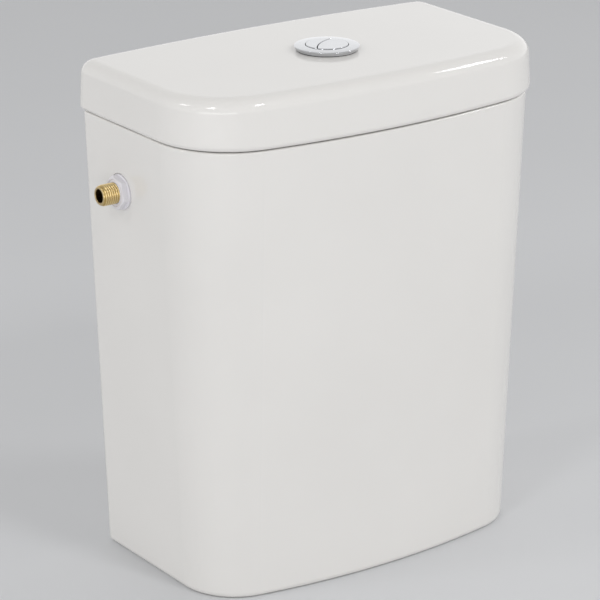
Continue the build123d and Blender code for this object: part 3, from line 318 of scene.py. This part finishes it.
def wave(turns):
    # a smooth rise and fall: 0 at every whole turn, 1 halfway
    return 0.5 - 0.5 * math.cos(2 * math.pi * turns)


sharpDegrees = 38  # faces that meet at a sharper turn than this keep a crisp edge


def turnedPiece(name, outline, origin, axis, segments, shape=None):
    # spins a closed (radius, distance) outline in mm round an axis; shape changes a radius by its angle
    along = Vector(axis).normalized()
    side = along.orthogonal().normalized()
    up = along.cross(side)
    mesh = bpy.data.meshes.new(name)
    built = bmesh.new()
    rings = []
    for step in range(segments):
        angle = 2 * math.pi * step / segments
        way = side * math.cos(angle) + up * math.sin(angle)
        rings.append([])
        for radius, distance in outline:
            reach = shape(radius, distance, angle) if shape else radius
            rings[-1].append(built.verts.new(origin + (along * distance + way * reach) * mm))
    for step, ring in enumerate(rings):
        after = rings[(step + 1) % segments]
        for k in range(len(outline)):
            following = (k + 1) % len(outline)
            built.faces.new((ring[k], ring[following], after[following], after[k]))
    bmesh.ops.recalc_face_normals(built, faces=built.faces)
    built.to_mesh(mesh)
    built.free()
    mesh.shade_smooth()
    mesh.set_sharp_from_angle(angle=math.radians(sharpDegrees))
    piece = bpy.data.objects.new(name, mesh)
    bpy.context.scene.collection.objects.link(piece)
    return piece


# Inlet tail: a right-hand thread cut right round as one helix, fading out at each end, on a bored brass tube.
# A G3/8 thread has 1.337 mm between its ridges; the photograph shows them about 1.9 mm apart, as drawn here.
# The crests are lower under the locknut.
tail = {
    "boreMm": 5.25, "boreChamferMm": 0.45, "boreEndMm": 1.0, "boreStepMm": 4.0,
    "shankMm": 7.0, "shankLengthMm": 16.0, "shankSoftMm": 0.3, "shankGapMm": 0.01,
    "rootMm": 7.47, "crestMm": 8.33, "clampCrestMm": 8.1, "nutFaceMm": 33.6, "pitchMm": 1.9, "fullness": 0.8,
    "endChamferMm": 0.7, "stepMm": 0.11, "segments": 112,
}


def tailThread(radius, distance, angle):
    if radius != tail["rootMm"]:
        return radius
    crest = tail["crestMm"] if distance > tail["nutFaceMm"] else tail["clampCrestMm"]
    run = min(distance - tail["shankLengthMm"], tail["lengthMm"] - tail["endChamferMm"] - distance)
    fade = max(0.0, min(1.0, run / tail["pitchMm"]))
    ridge = wave(distance / tail["pitchMm"] - angle / (2 * math.pi)) ** tail["fullness"]
    return radius + (crest - radius) * ridge * fade


def makeInletTail():
    origin, length = innerEndOf("inlet_tail")
    tail["lengthMm"] = length
    bore, chamfer, shank, soft = tail["boreMm"], tail["endChamferMm"], tail["shankMm"], tail["shankSoftMm"]
    outline = [(bore, 0.0), (shank - soft, 0.0), (shank, soft),
               (shank, tail["shankLengthMm"] - tail["shankGapMm"])]
    outline += stretch(tail["rootMm"], tail["shankLengthMm"], length - chamfer, tail["stepMm"])
    outline += [(tail["rootMm"] - chamfer, length), (bore + tail["boreChamferMm"], length),
                (bore, length - tail["boreChamferMm"])]
    outline += stretch(bore, length - tail["boreEndMm"], tail["boreEndMm"], tail["boreStepMm"])[1:-1]
    dressNode(turnedPiece("inletTail", outline, origin, (-1, 0, 0), tail["segments"], tailThread),
              "inlet_tail")


# Locknut: moulded hexagon with its outer corners turned off, a sunk ring in its face, and a thin flange.
# Outline points at the radius hexMarkMm lie on the hexagon, whose shape gives them their own radius.
locknut = {
    "holeMm": 8.2, "flangeMm": 13.9, "flangeThickMm": 2.0, "flangeFootMm": 0.2, "flangeSoftMm": 0.5,
    "hexMarkMm": 40.0, "hexStepMm": 0.2, "hexEndMm": 0.05, "acrossFlatsMm": 24.0, "cornerSoftMm": 0.5,
    "chamferMm": 1.6, "coneFullness": 1.6, "coneCutMm": 0.5,
    "faceMm": 10.6, "sinkOuterMm": 10.2, "sinkInnerMm": 9.4, "sinkMm": 0.5,
    "collarMm": 9.0, "collarSinkMm": 0.1, "mouthSoftMm": 0.3, "segments": 144,
}


def locknutShape(radius, distance, angle):
    if radius < locknut["hexMarkMm"]:
        return radius
    half = locknut["acrossFlatsMm"] / 2
    point = half / math.cos(math.pi / 6)
    turn = (angle + math.pi / 6) % (math.pi / 3) - math.pi / 6
    corner = min(half / math.cos(turn), point - locknut["cornerSoftMm"])
    past = max(0.0, distance - (locknut["heightMm"] - locknut["chamferMm"])) / locknut["chamferMm"]
    cone = point - past ** locknut["coneFullness"] * (point - half + locknut["coneCutMm"])
    return min(corner, cone)


def makeLocknut():
    origin, height = innerEndOf("inlet_locknut")
    locknut["heightMm"] = height
    hole, flange, soft = locknut["holeMm"], locknut["flangeMm"], locknut["flangeSoftMm"]
    sunk, collar, mouth = height - locknut["sinkMm"], height - locknut["collarSinkMm"], locknut["mouthSoftMm"]
    outline = [(hole, 0.0), (flange - locknut["flangeFootMm"], 0.0), (flange, locknut["flangeFootMm"])]
    outline += quarter(flange - soft, locknut["flangeThickMm"] - soft, soft, 0, 90)
    outline += stretch(locknut["hexMarkMm"], locknut["flangeThickMm"], height - locknut["hexEndMm"],
                       locknut["hexStepMm"])
    outline += [(locknut["faceMm"], height), (locknut["sinkOuterMm"], sunk), (locknut["sinkInnerMm"], sunk),
                (locknut["collarMm"], collar), (hole + mouth, collar), (hole, collar - mouth)]
    dressNode(turnedPiece("inletLocknut", outline, origin, (-1, 0, 0), locknut["segments"], locknutShape),
              "inlet_locknut")


# Button bezel: a flared disc, wider at its top than at its foot, with a crisp shoulder and a threaded sleeve
bezel = {
    "widestMm": 25.45, "shoulderMm": 3.15, "shoulderSoftMm": 0.35, "shoulderDegrees": (-24, 85),
    "shoulderSteps": 6, "footMm": 24.25, "footSoftMm": 0.2, "domeMm": 0.1, "domeSteps": 9,
    "boreMm": 17.0, "mouthSoftMm": 0.3,
    "sleeveMm": 36.0, "sleeveRootMm": 18.4, "sleeveCrestMm": 19.0, "sleevePitchMm": 2.0, "threadStartMm": 0.5,
    "threadEndMm": 0.6, "threadStepMm": 0.25, "lipMm": 1.6, "lipHighMm": 2.0, "segments": 160,
}


def makeBezel():
    origin, top = footOf("button_bezel")
    foot, root, bore, widest = bezel["sleeveMm"], bezel["sleeveRootMm"], bezel["boreMm"], bezel["widestMm"]
    soft, mouth, shoulder = bezel["shoulderSoftMm"], bezel["mouthSoftMm"], foot + bezel["shoulderMm"]
    outline = [(bore - bezel["lipMm"], 0.0), (root, 0.0)]
    height = bezel["threadStartMm"]
    while height < foot - bezel["threadEndMm"]:
        ridge = (bezel["sleeveCrestMm"] - root) * wave(height / bezel["sleevePitchMm"])
        outline.append((root + ridge, height))
        height += bezel["threadStepMm"]
    outline += [(root, foot), (bezel["footMm"] - bezel["footSoftMm"], foot),
                (bezel["footMm"], foot + bezel["footSoftMm"])]
    outline += quarter(widest - soft, shoulder - soft, soft, *bezel["shoulderDegrees"],
                       bezel["shoulderSteps"])
    for k in range(1, bezel["domeSteps"]):
        share = k / bezel["domeSteps"]
        rise = (top - shoulder) * share + bezel["domeMm"] * 4 * share * (1 - share)
        outline.append((widest - soft - (widest - bore - soft - mouth) * share, shoulder + rise))
    outline += quarter(bore + mouth, top - mouth, mouth, 90, 180)
    outline += [(bore, bezel["lipHighMm"]), (bore - bezel["lipMm"], bezel["lipHighMm"])]
    dressNode(turnedPiece("buttonBezel", outline, origin, (0, 0, 1), bezel["segments"]), "button_bezel")


# Discharge tube: corrugated so that it bends a little, plain where it grips the stem
discharge = {"boreMm": 10.1, "outerMm": 11.9, "edgeSoftMm": 0.5, "waveMm": 0.7, "waveLengthMm": 4.0,
             "plainTopMm": 17.0, "plainFootMm": 5.0, "stepMm": 0.4, "segments": 72}


def makeDischargeTube():
    origin, height = footOf("discharge_tube")
    outer, soft, start = discharge["outerMm"], discharge["edgeSoftMm"], discharge["plainFootMm"]
    outline = quarter(outer - soft, soft, soft, -90, 0)
    for radius, distance in stretch(outer, start, height - discharge["plainTopMm"], discharge["stepMm"]):
        dip = discharge["waveMm"] * wave((distance - start) / discharge["waveLengthMm"])
        outline.append((radius - dip, distance))
    outline += quarter(outer - soft, height - soft, soft, 0, 90)
    outline += [(discharge["boreMm"], height), (discharge["boreMm"], 0.0)]
    dressNode(turnedPiece("dischargeTube", outline, origin, (0, 0, 1), discharge["segments"]),
              "discharge_tube")


# Overflow tube: extruded pipe with a soft rim, a flange near the foot and moulded rings that stiffen it
overflow = {"boreMm": 13.0, "boreSoftMm": 0.3, "outerMm": 15.0, "footSoftMm": 0.5, "rimSoftMm": 1.0,
            "rimSteps": 10,
            "flangeMm": 20.0, "flangeBaseMm": 4.0, "flangeThickMm": 3.0, "flangeSoftMm": 0.4, "filletMm": 0.6,
            "ringEveryMm": 25.0, "ringDepthMm": 0.35, "ringWidthMm": 1.2, "ringSteps": 4, "segments": 96}


def makeOverflowTube():
    origin, height = footOf("overflow_tube")
    outer, base, thick = overflow["outerMm"], overflow["flangeBaseMm"], overflow["flangeThickMm"]
    bore, inside, edge = overflow["boreMm"], overflow["boreSoftMm"], overflow["footSoftMm"]
    fillet, soft, rim = overflow["filletMm"], overflow["flangeSoftMm"], overflow["rimSoftMm"]
    outline = [(bore, inside), (bore + inside, 0.0), (outer - edge, 0.0), (outer, edge)]
    outline += quarter(outer + fillet, base - fillet, fillet, 180, 90)
    outline += quarter(overflow["flangeMm"] - soft, base + soft, soft, -90, 0)
    outline += quarter(overflow["flangeMm"] - soft, base + thick - soft, soft, 0, 90)
    outline += [(outer, base + thick)]
    groove = base + thick + overflow["ringEveryMm"]
    while groove < height - overflow["ringEveryMm"] / 2:
        for k in range(overflow["ringSteps"] + 1):
            share = k / overflow["ringSteps"]
            dip = overflow["ringDepthMm"] * math.sin(math.pi * share)
            outline.append((outer - dip, groove + overflow["ringWidthMm"] * share))
        groove += overflow["ringEveryMm"]
    outline += quarter(outer - rim, height - rim, rim, 0, 180, overflow["rimSteps"])
    dressNode(turnedPiece("overflowTube", outline, origin, (0, 0, 1), overflow["segments"]), "overflow_tube")


# Coupling gasket: moulded doughnut with soft edges and two sealing beads on its cone
gasket = {"boreMm": 29.9, "footMm": 37.0, "footSoftMm": 0.8, "outerMm": 44.0, "outerSoftMm": 1.6,
          "outerHighMm": 7.0, "outerStepMm": 1.0, "beadMm": 0.5, "coneSteps": 24, "segments": 128}


def makeCouplingGasket():
    origin, height = footOf("coupling_gasket")
    foot, outer, soft, edge = gasket["footMm"], gasket["outerMm"], gasket["outerSoftMm"], gasket["footSoftMm"]
    rise = height - gasket["outerHighMm"]
    outline = [(gasket["boreMm"], 0.0)] + quarter(foot - edge, edge, edge, -90, -45)
    for k in range(1, gasket["coneSteps"]):
        share = k / gasket["coneSteps"]
        hollow = gasket["beadMm"] * (1 - abs(math.sin(2 * math.pi * share)))
        outline.append((foot + (outer - foot) * share - hollow, rise * share))
    outline += stretch(outer, rise, height - soft, gasket["outerStepMm"])
    outline += quarter(outer - soft, height - soft, soft, 0, 90)[1:] + [(gasket["boreMm"], height)]
    dressNode(turnedPiece("couplingGasket", outline, origin, (0, 0, 1), gasket["segments"]),
              "coupling_gasket")


# Button springs: one wire each, wound by a node tree, with closed coils at both ends.
spring = {"meanRadiusMm": 3.7, "wireMm": 0.7, "turns": 8.5, "closedShare": 0.72, "stepsPerTurn": 40,
          "wireSides": 12, "travelMm": 4.5, "endRoomMm": 0.1,
          "joints": {"full_button_spring": "full_flush_press", "half_button_spring": "half_flush_press"}}


def springTree():
    tree = bpy.data.node_groups.new("woundSpring", "GeometryNodeTree")
    tree.interface.new_socket("Geometry", in_out="INPUT", socket_type="NodeSocketGeometry")
    sockets = {name: tree.interface.new_socket(name, in_out="INPUT", socket_type="NodeSocketFloat").identifier
               for name in ("Turns", "Mean Radius", "Wire Radius", "Height", "Closed Share")}
    finish = tree.interface.new_socket("Finish", in_out="INPUT", socket_type="NodeSocketMaterial")
    sockets["Finish"] = finish.identifier
    tree.interface.new_socket("Geometry", in_out="OUTPUT", socket_type="NodeSocketGeometry")
    given = addNode(tree, "NodeGroupInput").outputs
    coil = addNode(tree, "GeometryNodeCurveSpiral", {"Resolution": spring["stepsPerTurn"]}, {
        "Rotations": given["Turns"], "Start Radius": given["Mean Radius"], "End Radius": given["Mean Radius"],
        "Height": given["Height"]})
    # the rise is slowed towards both ends, which closes the end coils
    place = addNode(tree, "GeometryNodeInputPosition").outputs["Position"]
    parts = addNode(tree, "ShaderNodeSeparateXYZ", {}, {"Vector": place})
    share = addNode(tree, "ShaderNodeMath", {"operation": "DIVIDE"},
                    {0: parts.outputs["Z"], 1: given["Height"]})
    closing = addNode(tree, "ShaderNodeMapRange", {"interpolation_type": "SMOOTHERSTEP"},
                      {"Value": share.outputs[0]})
    mixed = addNode(tree, "ShaderNodeMix", {"data_type": "FLOAT"},
                    {0: given["Closed Share"], 2: share.outputs[0], 3: closing.outputs["Result"]})
    risen = addNode(tree, "ShaderNodeMath", {"operation": "MULTIPLY"},
                    {0: mixed.outputs[0], 1: given["Height"]})
    moved = addNode(tree, "ShaderNodeCombineXYZ", {},
                    {"X": parts.outputs["X"], "Y": parts.outputs["Y"], "Z": risen.outputs[0]})
    wound = addNode(tree, "GeometryNodeSetPosition", {},
                    {"Geometry": coil.outputs["Curve"], "Position": moved.outputs["Vector"]})
    ring = addNode(tree, "GeometryNodeCurvePrimitiveCircle", {"Resolution": spring["wireSides"]},
                   {"Radius": given["Wire Radius"]})
    wire = addNode(tree, "GeometryNodeCurveToMesh", {"Fill Caps": True},
                   {"Curve": wound.outputs["Geometry"], "Profile Curve": ring.outputs["Curve"]})
    smooth = addNode(tree, "GeometryNodeSetShadeSmooth", {}, {"Geometry": wire.outputs["Mesh"]})
    solid = addNode(tree, "GeometryNodeRealizeInstances", {}, {"Geometry": smooth.outputs["Geometry"]})
    painted = addNode(tree, "GeometryNodeSetMaterial", {},
                      {"Geometry": solid.outputs["Geometry"], "Material": given["Finish"]})
    addNode(tree, "NodeGroupOutput", {}, {"Geometry": painted.outputs["Geometry"]})
    return tree, sockets


def growPiece(name, tree, values):
    # runs a node tree once and keeps its result as a plain mesh
    piece = bpy.data.objects.new(name, bpy.data.meshes.new(name + "Seed"))
    bpy.context.scene.collection.objects.link(piece)
    maker = piece.modifiers.new("maker", "NODES")
    maker.node_group = tree
    for identifier, value in values.items():
        maker[identifier] = value
    bpy.context.view_layer.update()
    grown = bpy.data.meshes.new_from_object(piece.evaluated_get(bpy.context.evaluated_depsgraph_get()))
    piece.modifiers.clear()
    piece.data = grown
    grown.name = name
    return piece


def makeSprings():
    tree, sockets = springTree()
    for node, joint in spring["joints"].items():
        low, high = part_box(node)
        wire = spring["wireMm"] / 2
        height = (high.z - low.z) / mm - 2 * wire
        piece = growPiece("wound" + node.split("_")[0].capitalize() + "Spring", tree, {
            sockets["Turns"]: spring["turns"], sockets["Mean Radius"]: spring["meanRadiusMm"] * mm,
            sockets["Wire Radius"]: wire * mm, sockets["Height"]: height * mm,
            sockets["Closed Share"]: spring["closedShare"], sockets["Finish"]: finishes[slotOfNode[node]]})
        centre = Vector(((low.x + high.x) / 2, (low.y + high.y) / 2, low.z + wire * mm))
        for point in piece.data.vertices:
            point.co += centre
        dressNode(piece, node)
        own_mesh(piece)


makeInletTail()
makeLocknut()
makeBezel()
makeDischargeTube()
makeOverflowTube()
makeCouplingGasket()
makeSprings()

# Plain pale studio: one wide floor and an even sky with one lit wall behind the object, soft at its edges
studio = {"floorMetres": 14.0, "floorTones": ("#DADBDD", "#DEDFE1"), "mottlesPerMetre": 3.0,
          "floorRough": 0.85, "skyColour": "#FFFFFF", "skyFoot": -0.1, "skyLow": 0.98, "skyHigh": 0.3,
          "wallWay": (0.58, 0.81, 0.1), "wallEdge": 0.2, "wallFull": 0.95, "wallGlow": 0.3}


def makeFloor():
    half = studio["floorMetres"] / 2
    mesh = bpy.data.meshes.new("studioFloor")
    corners = [(-half, -half, 0), (half, -half, 0), (half, half, 0), (-half, half, 0)]
    mesh.from_pydata(corners, [], [(0, 1, 2, 3)])
    floor = bpy.data.objects.new("studioFloor", mesh)
    bpy.context.scene.collection.objects.link(floor)
    material, tree, place = startMaterial("paintedStudioFloor")
    mottle = addNode(tree, "ShaderNodeTexNoise", {"Scale": studio["mottlesPerMetre"], "Detail": 2.0},
                     {"Vector": place})
    colour = addNode(tree, "ShaderNodeMix", tonePair(*studio["floorTones"]), {0: mottle.outputs["Fac"]})
    endMaterial(tree, {"Roughness": studio["floorRough"]}, {"Base Color": colour.outputs[2]})
    mesh.materials.append(material)


def makeSky():
    world = bpy.data.worlds.new("studioSky")
    bpy.context.scene.world = world
    world.use_nodes = True
    tree = world.node_tree
    tree.nodes.clear()
    way = addNode(tree, "ShaderNodeTexCoord").outputs["Generated"]
    parts = addNode(tree, "ShaderNodeSeparateXYZ", {}, {"Vector": way})
    light = addNode(tree, "ShaderNodeMapRange", {"From Min": studio["skyFoot"], "To Min": studio["skyLow"],
                                                 "To Max": studio["skyHigh"]}, {"Value": parts.outputs["Z"]})
    facing = addNode(tree, "ShaderNodeVectorMath", {"operation": "DOT_PRODUCT", 1: studio["wallWay"]},
                     {0: way})
    wall = addNode(tree, "ShaderNodeMapRange", {
        "interpolation_type": "SMOOTHSTEP", "From Min": studio["wallEdge"], "From Max": studio["wallFull"],
        "To Max": studio["wallGlow"]}, {"Value": facing.outputs["Value"]})
    total = addNode(tree, "ShaderNodeMath", {}, {0: light.outputs["Result"], 1: wall.outputs["Result"]})
    sky = addNode(tree, "ShaderNodeBackground", {"Color": toLinear(studio["skyColour"])},
                  {"Strength": total.outputs[0]})
    addNode(tree, "ShaderNodeOutputWorld", {}, {"Surface": sky.outputs["Background"]})


# Soft lamps, in metres and watts
lamps = {
    "sideLamp": {"place": (-2.1, 0.5, 1.9), "aim": (0, 0, 0.2), "size": (0.4, 0.4), "watts": 4},
    "keyLamp": {"place": (-1.9, -1.0, 1.9), "aim": (0, 0, 0.2), "size": (0.45, 0.4), "watts": 6},
    "frontLamp": {"place": (0.3, -2.0, 2.1), "aim": (0, 0, 0.2), "size": (0.45, 0.4), "watts": 10},
    "rightLamp": {"place": (2.0, -1.2, 1.75), "aim": (0, 0, 0.2), "size": (0.5, 0.4), "watts": 9},
    "lowLamp": {"place": (-1.9, -1.6, 0.32), "aim": (0, 0, 0.1), "size": (2.2, 0.5), "watts": 7.5},
}


def makeLamps():
    for name, lamp in lamps.items():
        light = bpy.data.lights.new(name, "AREA")
        light.shape = "RECTANGLE"
        light.size, light.size_y = lamp["size"]
        light.energy = lamp["watts"]
        holder = bpy.data.objects.new(name, light)
        holder.location = lamp["place"]
        way = Vector(lamp["aim"]) - Vector(lamp["place"])
        holder.rotation_euler = way.to_track_quat("-Z", "Y").to_euler()
        bpy.context.scene.collection.objects.link(holder)


# The camera stands where the photograph was taken from, for a frame of 600 x 600
photoCamera = {"place": (-1.29476, -1.78556, 0.99286), "yaw": -35.4061, "pitch": -19.7159,
               "focalPixels": 2939.21, "framePixels": 600, "sensorMm": 36.0, "clipMetres": (0.05, 50.0)}


def makeCamera():
    lens = bpy.data.cameras.new("photoCamera")
    lens.sensor_width = photoCamera["sensorMm"]
    lens.lens = photoCamera["focalPixels"] / photoCamera["framePixels"] * photoCamera["sensorMm"]
    lens.clip_start, lens.clip_end = photoCamera["clipMetres"]
    camera = bpy.data.objects.new("photoCamera", lens)
    camera.location = photoCamera["place"]
    camera.rotation_euler = (math.radians(90 + photoCamera["pitch"]), 0, math.radians(photoCamera["yaw"]))
    bpy.context.scene.collection.objects.link(camera)
    bpy.context.scene.camera = camera


makeFloor()
makeSky()
makeLamps()
makeCamera()
bpy.context.scene.view_settings.view_transform = "Standard"
print("studio made")
